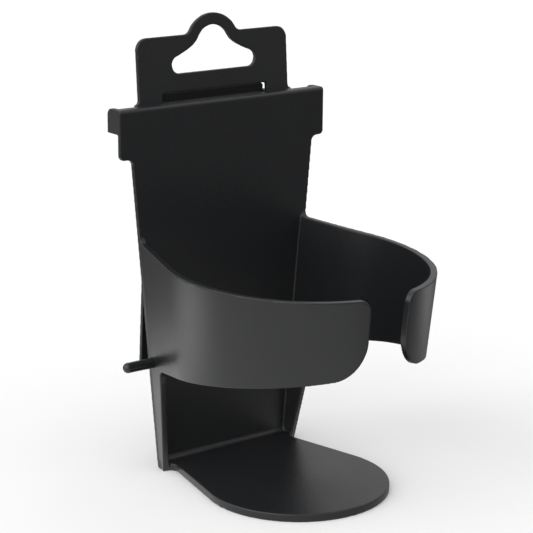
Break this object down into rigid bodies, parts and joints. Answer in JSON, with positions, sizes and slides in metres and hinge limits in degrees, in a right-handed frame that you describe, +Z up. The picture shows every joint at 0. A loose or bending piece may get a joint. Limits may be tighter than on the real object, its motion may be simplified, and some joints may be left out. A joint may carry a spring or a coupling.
{
  "type": "hanging cup holder",
  "caption": "Black moulded cup holder with a round base, two open arms, a bar that hangs over a panel edge, and a hinged blade behind.",
  "frame": {"origin": "centre of the round base, on its underside", "axes": "+Z up, +Y towards the back plate and the panel that the holder hangs on, X across"},
  "size_m": [0.0984, 0.1162, 0.1741],
  "materials": {
    "moulded_black": "injection moulded polypropylene, fine spark-eroded satin texture",
    "blade_black": "injection moulded polypropylene sheet, satin",
    "rod_steel": "drawn steel wire",
    "peg_black": "polished mould, rounded tip"
  },
  "bodies": {
    "holder": {"holder_body": "moulded_black", "hang_tab": "moulded_black", "hinge_rod": "rod_steel", "side_peg_left": "peg_black", "side_peg_right": "peg_black"},
    "blade": {"rear_blade": "blade_black"}
  },
  "joints": [
    {"name": "blade_hinge", "type": "hinge", "parent": "holder", "child": "blade", "pos_m": [0, 0.056, 0.139], "axis": [1, 0, 0], "range_deg": [-7.5, 17]}
  ]
}
